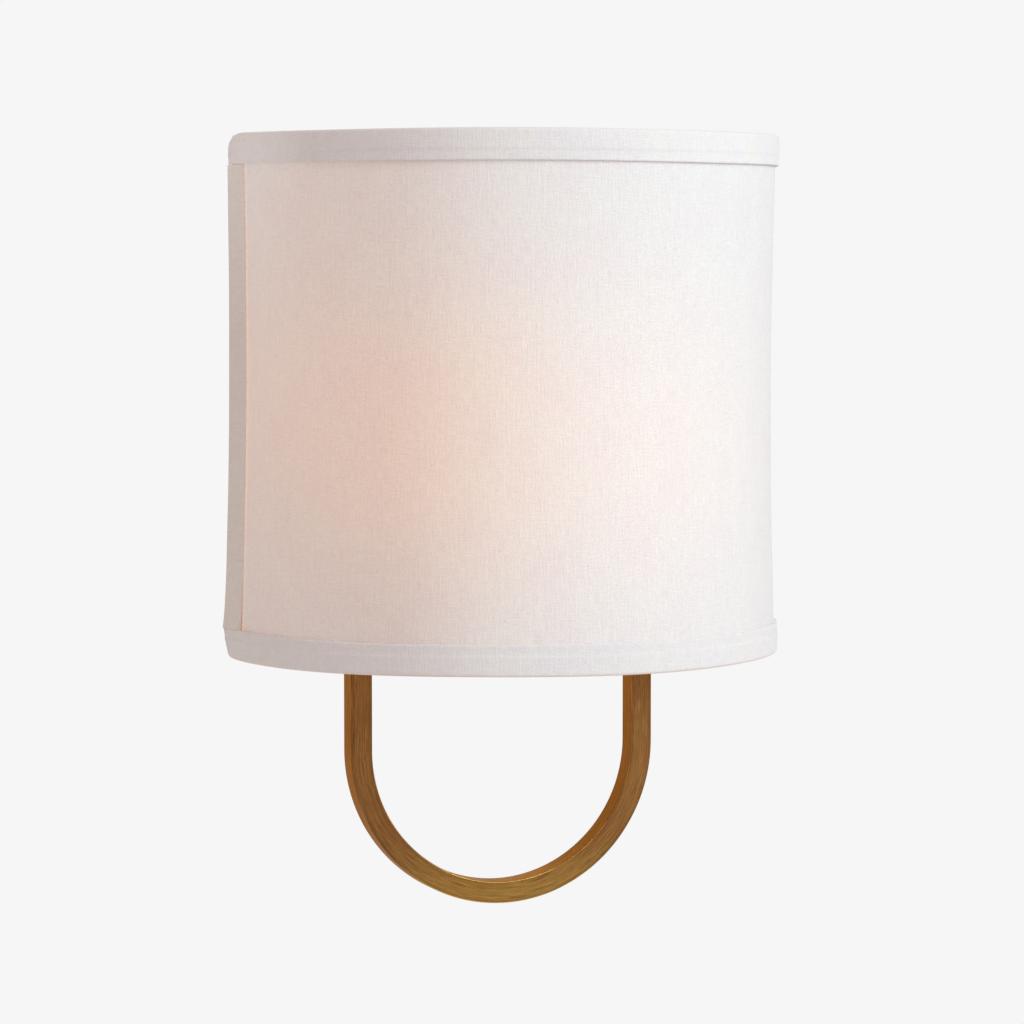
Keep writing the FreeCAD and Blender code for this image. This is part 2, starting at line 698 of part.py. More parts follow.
half_arm = leg_x + bar_width / 2
wire_clear = wire_hole / 2 + running
pieces = {
    "mounting_strap": mounting_strap(),
    "strap_studs": strap_studs(),
    "stud_nuts": stud_nuts(),
    "ground_screw": ground_screw(),
    "canopy": canopy(),
    "cap_nut_upper": cap_nut(1),
    "cap_nut_lower": cap_nut(-1),
    "centre_nipple": centre_nipple(),
    "centre_locknut": centre_locknut(),
    "u_bar": u_bar(),
    "cross_arm": cross_arm(),
    "shade_fabric": shade_fabric(),
    "shade_liner": shade_liner(),
    "binding_top": rim_binding(),
    "binding_bottom": below(rim_binding()),
    "rim_wire_top": rim_wire(),
    "rim_wire_bottom": below(rim_wire()),
    "shade_hanger": shade_hanger(),
    "shade_studs": shade_studs(),
}
right_pieces = {
    "leg_cap": bar_plug(V(leg_x, leg_y, leg_top), UP, RIGHT, leg_top - wire_clear),
    "cross_arm_plug": bar_plug(V(half_arm, arm_y, 0), RIGHT, UP, bar_width / 2 - wire_clear),
    "lamp_arm": lamp_arm_right(),
    "lamp_arm_plug": bar_plug(V(leg_x, lamp_arm_end, -lamp_drop), FRONT, RIGHT,
                              arm_past_lamp - nipple_diameter / 2 - running),
    "lamp_nipple": lamp_nipple_right(),
    "lamp_cup": lamp_cup_right(),
    "candle_sleeve": candle_sleeve_right(),
    "lamp_holder": lamp_holder_right(),
    "screw_shell": screw_shell_right(),
    "holder_contact": holder_contact_right(),
    "bulb_glass": bulb_glass_right(),
    "bulb_cap": bulb_cap_right(),
    "bulb_contact": bulb_contact_right(),
    "bulb_filament": bulb_filament_right(),
    "side_binding": side_binding_right(),
    "upright": upright_right(),
    "thumb_nut": thumb_nut_right(),
    "lead": lead_right(),
    "wire_connector": wire_connector_right(),
}
for name, shape in right_pieces.items():
    pieces[name + "_right"] = shape
    pieces[name + "_left"] = mirrored(shape)

os.makedirs("parts", exist_ok=True)
for name, shape in pieces.items():
    assert shape.isValid() and shape.Solids, name
    shape.exportStep("parts/" + name + ".step")
    print(name, len(shape.Solids), "solids", len(shape.Faces), "faces", round(shape.Volume, 1), "mm3")
print(len(pieces), "nodes")
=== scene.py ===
import json
import math
import bmesh
import bpy
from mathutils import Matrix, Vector, noise


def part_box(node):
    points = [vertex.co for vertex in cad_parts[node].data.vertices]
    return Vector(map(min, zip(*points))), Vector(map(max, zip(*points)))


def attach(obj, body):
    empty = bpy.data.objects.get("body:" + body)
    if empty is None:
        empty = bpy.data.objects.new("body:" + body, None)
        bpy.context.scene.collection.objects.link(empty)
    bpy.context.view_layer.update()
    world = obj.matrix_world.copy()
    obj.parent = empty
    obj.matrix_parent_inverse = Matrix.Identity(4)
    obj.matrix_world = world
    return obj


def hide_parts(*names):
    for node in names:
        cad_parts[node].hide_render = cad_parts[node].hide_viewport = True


# A two-lamp wall light: a half-round linen shade with bound edges, in front of a loop of brushed
# brass bar. The cloth, its four bindings and the loop are made here. The other parts keep their
# shape and get a finish. Lengths are in metres; X runs to the right, +Y into the wall, Z up.

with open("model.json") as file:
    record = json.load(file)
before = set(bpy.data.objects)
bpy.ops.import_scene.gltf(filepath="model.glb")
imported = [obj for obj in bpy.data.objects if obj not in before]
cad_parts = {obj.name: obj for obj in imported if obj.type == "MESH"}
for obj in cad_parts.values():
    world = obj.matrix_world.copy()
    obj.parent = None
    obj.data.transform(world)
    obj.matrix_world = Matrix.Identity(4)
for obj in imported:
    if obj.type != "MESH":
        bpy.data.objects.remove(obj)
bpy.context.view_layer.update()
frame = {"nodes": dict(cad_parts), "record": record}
nodes = frame["nodes"]

MM = 0.001
TAU = 2 * math.pi
BLACK = (0, 0, 0, 1)

# The shade, read from the binding of its upper rim
rim_low, rim_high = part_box("binding_top")
radius = rim_high.x
half_height = rim_high.z
edge_width = rim_high.z - rim_low.z
shade_y = rim_low.y + radius
fabric_outer = radius - 1.6 * MM
fabric_thickness = 0.7 * MM
fabric_reach = half_height - 1.0 * MM   # the cloth ends here, inside the bound rims
bow_depth = 2.0 * MM                    # how far the wall draws in at mid height
lean_depth = 2.5 * MM                   # how far the left side stands out at the foot
lined_depth = 6.0 * MM                  # the frame, this far in, stays where it is
cloth_turn = 0.9 * MM                   # cloth past the back edges, where it turns round them

# The brass loop
loop_low, loop_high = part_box("u_bar")
bar_width = 10.8 * MM
bar_depth = loop_high.y - loop_low.y
bar_corner = 0.65 * MM
face_points, corner_points = 3, 5       # in each quarter of the bar's section
leg_x = loop_high.x - bar_width / 2
leg_y = (loop_high.y + loop_low.y) / 2
bend_z = loop_low.z + leg_x + bar_width / 2

# Painted bright places on the cloth, where the lamps shine through: (x, z, strength)
lamp_lobes = ((-0.072, -0.018, 1.0), (0.030, -0.022, 0.85))
lobe_size = 0.068

# The photograph's view: how far to the left of the front, and how far from above
camera_yaw, camera_pitch = math.radians(19.43), math.radians(3.61)
camera_distance = 1.938
camera_centre = Vector((0, -0.052, -0.0561))
camera_aside = -7.9 * MM                # the view's centre, to the right of that point
focal_pixels, image_pixels = 3985, 1024
sensor_width = 36                       # in mm, as the camera has it


def add(name, data):
    item = bpy.data.objects.new(name, data)
    bpy.context.scene.collection.objects.link(item)
    return item


# ---------------------------------------------------------------- meshes

def loft(name, sections, along, around):
    """Closed skin through closed sections, with flat ends.
    along and around are the lengths on the UV map. The ends lie a metre up it, clear of the
    patterns that start at an edge."""
    count = len(sections[0])
    points = [point for section in sections for point in section]
    faces, uv = [], []
    for i in range(len(sections) - 1):
        for j in range(count):
            here = i * count + j
            beside = i * count + (j + 1) % count
            faces.append((here, beside, beside + count, here + count))
            uv += [(along[i], around[j]), (along[i], around[j + 1]),
                   (along[i + 1], around[j + 1]), (along[i + 1], around[j])]
    last = len(points) - count
    faces += [tuple(reversed(range(count))), tuple(range(last, last + count))]
    uv += [(y, z + 1.0) for _, y, z in list(reversed(sections[0])) + sections[-1]]
    mesh = bpy.data.meshes.new(name)
    mesh.from_pydata(points, [], faces)
    layer = mesh.uv_layers.new(name="lengths")
    for loop, place in zip(layer.data, uv):
        loop.uv = place
    mesh.update()
    mesh.validate()
    mesh.shade_smooth()
    mesh.set_sharp_from_angle(angle=math.radians(50))
    turn_outward(mesh)
    return add(name, mesh)


def turn_outward(mesh):
    """Turns the faces of a closed skin to the outside."""
    work = bmesh.new()
    work.from_mesh(mesh)
    bmesh.ops.recalc_face_normals(work, faces=work.faces)
    work.to_mesh(mesh)
    work.free()


def lengths(points):
    """Running length round a closed section."""
    total = [0.0]
    for a, b in zip(points, points[1:] + points[:1]):
        total.append(total[-1] + math.dist(a, b))
    return total


def on_shade(angle, r, z):
    """Angle 0 is the right back edge of the shade and pi the left one, by way of the front."""
    return (r * math.cos(angle), shade_y - r * math.sin(angle), z)


def bow(z):
    """How far the cloth draws in at a height."""
    return bow_depth * max(0.0, 1 - (z / fabric_reach) ** 2) ** 1.25


def outer_share(inset):
    """1 on the outer face, down to 0 at the wire frame, which no pull on the cloth moves."""
    return max(0.0, 1 - inset / lined_depth)


def lean(angle, z, inset=0.0):
    """The shade hangs a little askew: its left side stands out further towards the foot."""
    down = (half_height - z) / (2 * half_height)
    return lean_depth * down * max(0.0, -math.cos(angle)) ** 1.5 * outer_share(inset)


def ripple(angle, z, size, pace=1.0):
    """Slow unevenness of stretched cloth: broad waves with smaller ones on them."""
    broad = noise.noise(Vector((angle * 2.3 * pace, z * 14 * pace, 3.1)))
    small = noise.noise(Vector((angle * 7.0 * pace, z * 42 * pace, 9.4)))
    return size * (broad + 0.4 * small)


def make_fabric():
    """The stretched linen wall, a thick sheet that is uneven on its outside."""
    rows, columns = 72, 260
    heights = [-fabric_reach + 2 * fabric_reach * j / rows for j in range(rows + 1)]
    sections = []
    for i in range(columns + 1):
        angle = math.pi * i / columns
        wall = [(fabric_outer - bow(z) + lean(angle, z), z) for z in heights]
        outside = [on_shade(angle, r + ripple(angle, z, 0.16 * MM), z) for r, z in wall]
        inside = [on_shade(angle, r - fabric_thickness, z) for r, z in reversed(wall)]
        sections.append(outside + inside)
    along = [math.pi * fabric_outer * i / columns for i in range(columns + 1)]
    down = [2 * fabric_reach + 1 * MM - z for z in reversed(heights)]
    return loft("shade_linen", sections, along, heights + down + [3 * fabric_reach])


def band_profile():
    """Section of a bound rim: inset from the outer face, and depth below the rim.
    The points are in mm, for a band 15 mm wide."""
    crest = []
    for step in range(7):
        turn = math.pi / 2 * step / 6
        crest.append((1.3 * (1 - math.sin(turn)), 1.5 * (1 - math.cos(turn))))
    face = [(0.0, 2.6), (-0.06, 4.5), (-0.08, 6.5), (-0.10, 8.2), (-0.12, 9.0)]
    fold_line = [(-0.05, 9.6), (0.10, 10.0), (0.13, 11.0), (0.12, 12.6), (0.08, 13.8)]
    free_edge = [(0.10, 14.5), (0.22, 14.86), (0.55, 15.0), (1.1, 14.97), (2.15, 14.8),
                 (2.15, 13.0)]
    round_frame = [(1.5, 9.0), (1.5, 4.0), (1.6, 1.5), (2.4, 1.0), (5.0, 0.95), (6.2, 1.3),
                   (6.45, 4.0)]
    inner_leaf = [(6.45, 7.6), (6.7, 8.0), (7.1, 7.8), (7.3, 7.2), (7.3, 4.0), (7.1, 1.2),
                  (6.3, 0.3), (4.2, 0.0), (2.4, 0.0)]
    outline = crest + face + fold_line + free_edge + round_frame + inner_leaf
    return [(inset * MM, depth * edge_width / 15) for inset, depth in outline]


def band_angles(turn):
    """Round the shade from turn before one back edge to turn past the other, closer at both."""
    columns = 260
    zone = 18 * MM / radius
    end = [turn * (k / 4) - turn for k in range(4)]
    end += [zone * (k / 24) ** 1.5 for k in range(24)]
    middle = [zone + (math.pi - 2 * zone) * i / columns for i in range(columns + 1)]
    return end + middle + [math.pi - angle for angle in reversed(end)]


def make_band(name, upper):
    """Folded cloth round a rim, rounded off at its ends.
    The lower one flares where its ends were pulled round."""
    profile = band_profile()
    turn = cloth_turn / radius
    corner_run, corner_drop = (18 * MM, 6.5 * MM) if upper else (5 * MM, 2.2 * MM)
    flare_run = 14 * MM
    sections, along = [], []
    for angle in band_angles(turn):
        run = (min(angle, math.pi - angle) + turn) * radius
        short = max(0.0, 1 - run / corner_run)
        drop = corner_drop * (1 - math.sqrt(max(1 - short ** 2, 0)))
        section = []
        for inset, depth in profile:
            r = radius - inset + ripple(angle, depth * 3, 0.14 * MM, 2.0)
            z = half_height - depth - drop * max(0.0, 1 - depth / (13 * MM))
            if upper:
                z += 0.2 * MM * math.sin(angle * 4.3)
            else:
                flare = math.exp(-((run / flare_run) ** 2)) * outer_share(inset)
                r += flare * (2.6 * MM * (depth / edge_width) - 1.2 * MM)
                z = -z - 0.25 * MM * math.sin(angle * 5.1 + 1.0)
            section.append(on_shade(angle, r + lean(angle, z, inset), z))
        sections.append(section)
        along.append(angle * radius)
    return loft(name, sections, along, lengths(profile))


def make_side_band(name, side):
    """Bound back edge between the rims: a leaf on the outside, turned round the upright.
    side is -1 for the left edge and 1 for the right."""
    top = half_height - edge_width - 0.1 * MM
    rows = 60
    leaf_start, leaf_width = 1.0, 16.0
    # Inset from the outer face and run from the back edge, in mm
    leaf = [(0.95, 17.4), (0.62, 17.3), (0.5, 16.8), (0.45, 14.0), (0.35, 9.0), (0.2, 6.0),
            (0.05, 3.0), (0.0, 1.0)]
    back_edge = [(0.1, 0.0), (0.5, -0.65), (1.5, -0.9), (2.6, -0.92), (4.0, -0.92),
                 (5.2, -0.85), (5.75, -0.5), (5.8, -0.05)]
    under = [(3.0, 0.0), (1.5, 0.1), (1.5, 3.0), (1.5, 8.0), (1.5, 13.0), (1.5, 17.0),
             (1.3, 17.4)]
    outline = [(inset * MM, run) for inset, run in leaf + back_edge + under]
    sections, along = [], []
    for i in range(rows + 1):
        z = -top + 2 * top * i / rows
        stand = 0.9 * MM - 0.8 * bow(z)
        foot = 1.3 * MM * math.exp(-(z + top) / (12 * MM))
        section = []
        for inset, run in outline:
            angle = run * MM / radius
            angle = math.pi - angle if side < 0 else angle
            share = min(1.0, max(0.0, (run - leaf_start) / leaf_width))
            r = radius - inset + stand - share * (bow(z) + stand)
            r += ripple(angle, z, 0.1 * MM, 1.5) + foot * outer_share(inset)
            section.append(on_shade(angle, r + lean(angle, z, inset), z))
        sections.append(section)
        along.append(z)
    return loft(name, sections, along, lengths([(inset, run * MM) for inset, run in outline]))


def bar_outline():
    """Section of the bar stock, with eased corners. Each quarter is a face and the corner
    after it."""
    points = []
    half = (bar_width / 2, bar_depth / 2)
    for quarter in range(4):
        x, y = half if quarter % 2 == 0 else half[::-1]
        end = y - bar_corner - 0.25 * MM
        face = [(x, -end), (x, 0.0), (x, end)]
        corner = [(x - bar_corner + bar_corner * math.cos(a),
                   y - bar_corner + bar_corner * math.sin(a))
                  for a in (math.pi / 2 * step / (corner_points - 1)
                            for step in range(corner_points))]
        turn = quarter * math.pi / 2
        for px, py in face + corner:
            points.append((px * math.cos(turn) - py * math.sin(turn),
                           px * math.sin(turn) + py * math.cos(turn)))
    return points


def bar_creases():
    """Where the four edges lie on the way round the bar, in mm, as on its UV map."""
    running = lengths(bar_outline())
    quarter_points = face_points + corner_points
    corner_middle = face_points + corner_points // 2
    return [running[quarter * quarter_points + corner_middle] / MM for quarter in range(4)]


def make_loop():
    """The U-shaped bar, with lengths along it for the brushing."""
    outline = bar_outline()
    top = loop_high.z
    straight = top - bend_z
    bend = math.pi * leg_x
    leg_steps, bend_steps = 25, 128
    # Points along the centre line, the way out of the bend there, and the length so far
    path = []
    for i in range(leg_steps):
        run = straight * i / leg_steps
        path.append((Vector((leg_x, 0, top - run)), Vector((1, 0, 0)), run))
    for i in range(bend_steps + 1):
        angle = math.pi * i / bend_steps
        out = Vector((math.cos(angle), 0, -math.sin(angle)))
        path.append((Vector((0, 0, bend_z)) + out * leg_x, out, straight + leg_x * angle))
    for i in range(1, leg_steps + 1):
        run = straight * i / leg_steps
        path.append((Vector((-leg_x, 0, bend_z + run)), Vector((-1, 0, 0)),
                     straight + bend + run))
    sections = [[tuple(at + out * across + Vector((0, leg_y + back, 0)))
                 for across, back in outline] for at, out, _ in path]
    return loft("brass_loop", sections, [run for _, _, run in path], lengths(outline))


# ---------------------------------------------------------------- materials

class Paint:
    """A material built in small steps from procedural nodes."""

    def __init__(self, name, **constants):
        self.material = bpy.data.materials.new(name)
        self.material.use_nodes = True
        self.tree = self.material.node_tree
        self.surface = next(n for n in self.tree.nodes if n.type == "BSDF_PRINCIPLED")
        for socket, value in constants.items():
            self.set(socket.replace("_", " "), value)

    def put(self, socket, value):
        if isinstance(value, bpy.types.NodeSocket):
            self.tree.links.new(value, socket)
        elif value is not None:
            socket.default_value = value

    def set(self, name, value):
        self.put(self.surface.inputs[name], value)

    def node(self, kind, *values, out=0, **settings):
        """A new node with its first inputs filled in. Gives back one of its outputs."""
        made = self.tree.nodes.new(kind)
        for name, value in settings.items():
            setattr(made, name, value)
        for socket, value in zip(made.inputs, values):
            self.put(socket, value)
        return made.outputs[out]

    def place(self, kind="Object"):
        return self.tree.nodes.new("ShaderNodeTexCoord").outputs[kind]

    def parts(self, vector):
        """The x, y and z of a vector."""
        return self.node("ShaderNodeSeparateXYZ", vector).node.outputs

    def vector(self, operation, a, b=None, out=0):
        return self.node("ShaderNodeVectorMath", a, b, operation=operation, out=out)

    def scaled(self, vector, factors):
        return self.vector("MULTIPLY", vector, factors)

    def noise(self, place, stretch, detail=2.0, roughness=0.5):
        """Cloudy noise. stretch is how many clouds there are to a unit, one number or three."""
        if not isinstance(stretch, tuple):
            stretch = (stretch,) * 3
        made = self.tree.nodes.new("ShaderNodeTexNoise")
        self.put(made.inputs["Vector"], self.scaled(place, stretch))
        made.inputs["Scale"].default_value = 1.0
        made.inputs["Detail"].default_value = detail
        made.inputs["Roughness"].default_value = roughness
        return made.outputs["Fac"]

    def math(self, operation, a, b=None):
        return self.node("ShaderNodeMath", a, b, operation=operation)

    def total(self, first, *others):
        for other in others:
            first = self.math("ADD", first, other)
        return first

    def bell(self, value):
        """1 where value is 0, falling away to either side."""
        square = self.math("MULTIPLY", value, value)
        return self.math("POWER", math.e, self.math("MULTIPLY", -1.0, square))

    def spread(self, value, low, high, to_low=0.0, to_high=1.0):
        """Maps low to high onto to_low to to_high, and keeps to those ends beyond them."""
        return self.node("ShaderNodeMapRange", value, low, high, to_low, to_high)

    def mix(self, factor, a, b, blend="MIX"):
        made = self.tree.nodes.new("ShaderNodeMix")
        made.data_type = "RGBA"
        made.blend_type = blend
        self.put(made.inputs["Factor"], factor)
        self.put(made.inputs["A"], a)
        self.put(made.inputs["B"], b)
        return next(s for s in made.outputs if s.type == "RGBA")

    def times(self, a, b):
        return self.mix(1.0, a, b, "MULTIPLY")

    def plus(self, a, b):
        return self.mix(1.0, a, b, "ADD")

    def bump(self, height, distance, strength):
        made = self.tree.nodes.new("ShaderNodeBump")
        self.put(made.inputs["Height"], height)
        made.inputs["Strength"].default_value = strength
        made.inputs["Distance"].default_value = distance
        self.set("Normal", made.outputs[0])


def colour(red, green, blue):
    """Linear colour from values of 0 to 255 as seen on screen."""
    def linear(value):
        value /= 255
        return value / 12.92 if value <= 0.04045 else ((value + 0.055) / 1.055) ** 2.4
    return (linear(red), linear(green), linear(blue), 1.0)


def linen(name, base, tints, pitch, roughness, glow=None, hem=None, foot=0.6,
          pale=(1.16, 1.18, 1.21, 1)):
    """Off-white linen with uneven threads, pitch mm apart, and now and then a fleck.
    glow is the painted light of the lamps through the cloth and hem the painted lamplight at
    its edge. foot and pale say how dim the painted shade stripe gets at the foot and how pale
    the painted light corner is, in uneven_light."""
    paint = Paint(name, Roughness=roughness, Sheen_Weight=0.15)
    mm = paint.scaled(paint.place("UV"), (1000, 1000, 1000))
    warp = paint.noise(mm, (1 / pitch, 0.16, 0))
    weft = paint.noise(mm, (0.2, 1 / pitch, 7))
    grain = paint.noise(mm, (1.2 / pitch, 1.0 / pitch, 3))
    slub = paint.noise(mm, (0.62 / pitch, 0.03, 11), 1.0)
    across, up, _ = paint.parts(paint.scaled(mm, (TAU / pitch,) * 3))
    crossing = paint.math("MULTIPLY", paint.math("SINE", across), paint.math("SINE", up))
    threads = paint.total(warp, paint.math("MULTIPLY", weft, 0.8), grain)
    tone = paint.total(paint.spread(threads, 1.05, 1.75, -0.05, 0.05),
                       paint.math("MULTIPLY", crossing, 0.012),
                       paint.spread(slub, 0.3, 0.7, -0.012, 0.012), 1.0)
    shade = paint.node("ShaderNodeCombineColor", tone, tone, tone)
    cloud = paint.spread(paint.noise(mm, (0.045, 0.04, 1)), 0.38, 0.62)
    cloth = paint.times(paint.times(base, paint.mix(cloud, *tints)), shade)
    flecks = paint.noise(mm, (0.9, 0.55, 0), 0.0)
    cloth = paint.mix(paint.spread(flecks, 0.862, 0.90, 0.0, 0.5), cloth, colour(176, 150, 136))
    # The lamps' painted light: a glow on the cloth and a warmer tint of its colour
    if glow:
        cloth, light = glow(paint, cloth, mm)
        paint.set("Emission Color", paint.times(light, shade))
        paint.set("Emission Strength", 1.0)
    if hem:
        cloth = hem(paint, cloth, mm)
    paint.set("Base Color", uneven_light(paint, cloth, foot, pale))
    paint.bump(paint.total(threads, paint.math("MULTIPLY", crossing, 0.35),
                           paint.math("MULTIPLY", slub, 0.6)), 0.21 * MM, 1.0)
    return paint.material


def lamp_glow(paint):
    """How near a place on the shade is to the bright places before the lamps, 0 to 1."""
    lobes = []
    for x, z, strength in lamp_lobes:
        off = paint.scaled(paint.vector("SUBTRACT", paint.place(), (x, 0, z)), (1, 0, 0.85))
        distance = paint.math("DIVIDE", paint.vector("LENGTH", off, out=1), lobe_size)
        lobes.append(paint.math("MULTIPLY", paint.bell(distance), strength))
    return paint.math("MINIMUM", paint.total(*lobes), 1.0)


def lamps_through(paint, cloth, mm):
    """Painted lamplight on the linen, given as glow: a broad warmth on the left, the two bright
    places, and a broken line of light beside each side binding. Gives the cloth, tinted warmer
    by painted lamplight near the left bright place, and the light."""
    line_full, line_end = 19.4, 20.6    # mm from the back edges of the cloth
    near = lamp_glow(paint)
    x, _, z = paint.parts(paint.place())
    broad = paint.math("POWER", paint.spread(x, 0.09, -0.125), 2.0)
    broad = paint.math("MULTIPLY", broad, paint.spread(z, -0.127, 0.03, 0.5, 1.0))
    light = paint.mix(broad, BLACK, (0.135, 0.085, 0.062, 1))
    light = paint.plus(light, paint.mix(near, BLACK, (0.115, 0.040, 0.004, 1)))
    run = paint.parts(mm)[0]
    whole = math.pi * fabric_outer / MM
    edge = paint.math("MINIMUM", run, paint.math("SUBTRACT", whole, run))
    broken = paint.spread(paint.noise(mm, (0, 0.7, 4), 3.0), 0.38, 0.62, 0.25, 1.0)
    line = paint.math("MULTIPLY", paint.spread(edge, line_end, line_full), broken)
    light = paint.plus(light, paint.mix(line, BLACK, (0.13, 0.058, 0.012, 1)))
    # The cloth's own colour, tinted warmer near the left bright place: painted lamplight
    left = paint.math("MULTIPLY", near, paint.spread(x, 0.0, -0.06))
    return paint.mix(left, cloth, paint.times(cloth, (0.98, 0.925, 0.885, 1))), light


def uneven_light(paint, cloth, foot, pale):
    """Painted shade and light: a dimmer, warmer stripe left of the middle, and a paler corner at
    the upper left.
    """
    stripe_x, stripe_size = -0.088, 0.026
    x, _, z = paint.parts(paint.place())
    off = paint.math("DIVIDE", paint.math("SUBTRACT", x, stripe_x), stripe_size)
    # The stripe is painted shade
    stripe = paint.math("MULTIPLY", paint.bell(off), paint.spread(z, -0.06, -0.095, 0.6, foot))
    cloth = paint.mix(stripe, cloth, paint.times(cloth, (0.915, 0.88, 0.87, 1)))
    # The corner is painted light
    corner = paint.math("MULTIPLY", paint.spread(x, -0.119, -0.133),
                        paint.spread(z, 0.03, 0.115))
    return paint.mix(corner, cloth, paint.times(cloth, pale))


def warm_hem(paint, cloth, mm):
    """Painted lamplight caught in the fold at the very edge of the hem."""
    run = paint.parts(mm)[1]
    return paint.mix(paint.spread(run, 1.9, 0.5, 0.0, 0.5), cloth, colour(250, 206, 180))


brass_base = colour(148, 102, 56)
brass_dark = colour(84, 50, 24)
brass_mid = colour(116, 76, 38)
brass_light = colour(188, 138, 80)

# Clouds to a millimetre of the fine streaks, the broad drag marks and the patches, by the way
# that a piece is brushed
brushing = {
    "uv": ((0.07, 3.0, 1), (0.025, 0.9, 5), (0.03, 0.12, 9)),
    "x": ((0.05, 2.4, 2.4), (0.025, 1.0, 1.0), (0.03, 0.12, 0.12)),
    "y": ((2.4, 0.05, 2.4), (1.0, 0.025, 1.0), (0.12, 0.03, 0.12)),
    "turned": ((0.5, 2.2, 0.5), (0.12, 0.6, 0.12), (0.05, 0.05, 0.05)),
}


def brushed(name, way, dark, roughness):
    """Antique brass: fine streaks along the brushing, dark drag marks and dulled patches.
    way is uv, along the loop's UV map, or x, y or turned, by the place on the object."""
    on_loop = way == "uv"
    paint = Paint(name, Metallic=0.88, Anisotropic=0.55 if on_loop else 0.0,
                  Specular_Tint=(1.0, 0.70, 0.42, 1))
    mm = paint.scaled(paint.place("UV" if on_loop else "Object"), (1000, 1000, 1000))
    fine, broad, cloudy = brushing[way]
    streaks = paint.noise(mm, fine, 4.0, 0.65)
    drags = paint.noise(mm, broad, 4.0, 0.68)
    patches = paint.noise(mm, cloudy)
    tone = paint.mix(paint.spread(streaks, 0.30, 0.72), dark, brass_light)
    tone = paint.mix(paint.spread(drags, 0.47, 0.36, 0.0, 0.4), tone, dark)
    tone = paint.mix(paint.spread(patches, 0.35, 0.65, 0.05, 0.35), tone, brass_base)
    # On the loop: scratches and dark edges, and painted highlights and reflections
    if on_loop:
        tone = loop_wear_and_painted_light(paint, tone, mm, patches, dark)
    paint.set("Base Color", tone)
    paint.set("Roughness", paint.spread(paint.total(streaks, patches), 0.7, 1.3,
                                        roughness + 0.10, roughness - 0.06))
    paint.bump(streaks, 0.04 * MM, 0.6)
    return paint.material


def loop_wear_and_painted_light(paint, tone, mm, patches, dark):
    """What the loop shows besides: short scratches, dark edges, gloss drawn out along the
    brushing,
    and painted light: a highlight in patches on the crests, a yellower foot and redder sides."""
    tangent = paint.node("ShaderNodeTangent", direction_type="UV_MAP", uv_map="lengths")
    paint.set("Tangent", tangent)
    scratches = paint.noise(mm, (0.22, 6.0, 3))
    tone = paint.mix(paint.spread(scratches, 0.58, 0.70, 0.0, 0.55), tone, dark)
    tone = paint.mix(paint.spread(scratches, 0.36, 0.26, 0.0, 0.5), tone, brass_light)
    across = paint.parts(mm)[1]
    offs = [paint.math("ABSOLUTE", paint.math("SUBTRACT", across, crease))
            for crease in bar_creases()]
    edge = offs[0]
    for off in offs[1:]:
        edge = paint.math("MINIMUM", edge, off)
    tone = paint.mix(paint.spread(edge, 2.2, 0.4, 0.0, 0.3), tone, dark)
    # Painted highlight along the crests, in patches
    painted_crest_highlight = paint.math("MULTIPLY", paint.spread(edge, 0.45, 0.1), paint.spread(patches, 0.4, 0.6))
    tone = paint.mix(painted_crest_highlight, tone, brass_light)
    # Painted reflection: the foot of the loop yellower and brighter
    foot = paint.spread(paint.parts(paint.place())[2], -0.222, -0.25)
    tone = paint.mix(foot, tone, paint.times(tone, (1.5, 1.85, 1.55, 1)))
    # Painted reflection: the faces that look sideways are redder
    facing = paint.parts(paint.place("Normal"))[1]
    side = paint.spread(paint.math("ABSOLUTE", facing), 0.6, 0.3)
    return paint.mix(side, tone, paint.times(tone, (1.02, 0.84, 0.55, 1)))


def speckled(name, base, spot, scale, roughness, metal=0.0):
    """Painted, plated or moulded surface with a fine uneven finish, scale specks to a metre."""
    paint = Paint(name, Metallic=metal)
    fine = paint.noise(paint.place(), scale, 4.0, 0.6)
    cloud = paint.noise(paint.place(), scale * 0.08)
    tone = paint.mix(paint.spread(cloud, 0.35, 0.65, 0.0, 0.5), base, spot)
    paint.set("Base Color", paint.mix(paint.spread(fine, 0.45, 0.75, 0.0, 0.35), tone, spot))
    paint.set("Roughness", paint.spread(fine, 0.3, 0.7, roughness - 0.05, roughness + 0.08))
    paint.bump(fine, 0.02 * MM, 0.6)
    return paint.material


def laminate():
    """Backing sheet inside the shade: smooth, slightly warm, with painted lamplight glowing on
    it, strongest at the bright places before the lamps.
    """
    paint = Paint("shade_liner", Roughness=0.55)
    cloud = paint.noise(paint.place(), 30)
    fibre = paint.noise(paint.place(), (900, 900, 250))
    paint.set("Base Color", paint.mix(cloud, colour(244, 238, 228), colour(236, 228, 216)))
    paint.set("Emission Color", paint.mix(lamp_glow(paint), (0.02, 0.014, 0.010, 1),
                                          (0.10, 0.065, 0.035, 1)))
    paint.set("Emission Strength", 1.0)
    paint.bump(fibre, 0.03 * MM, 0.4)
    return paint.material


def lit_glass():
    """Frosted glass of a bulb that is on: brightest round the filament."""
    paint = Paint("bulb_glass", Roughness=0.35)
    low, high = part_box("bulb_glass_left")
    filament_z = low.z + 0.44 * (high.z - low.z)
    height = paint.parts(paint.place())[2]
    core = paint.bell(paint.math("DIVIDE", paint.math("SUBTRACT", height, filament_z), 0.03))
    frost = paint.noise(paint.place(), 900)
    paint.set("Base Color", paint.mix(frost, (0.9, 0.88, 0.84, 1), (0.82, 0.8, 0.76, 1)))
    paint.set("Emission Color", paint.mix(core, (1.0, 0.62, 0.32, 1), (1.0, 0.86, 0.62, 1)))
    paint.set("Emission Strength", paint.spread(core, 0.0, 1.0, 1.2, 9.0))
    paint.bump(frost, 0.02 * MM, 0.3)
    return paint.material


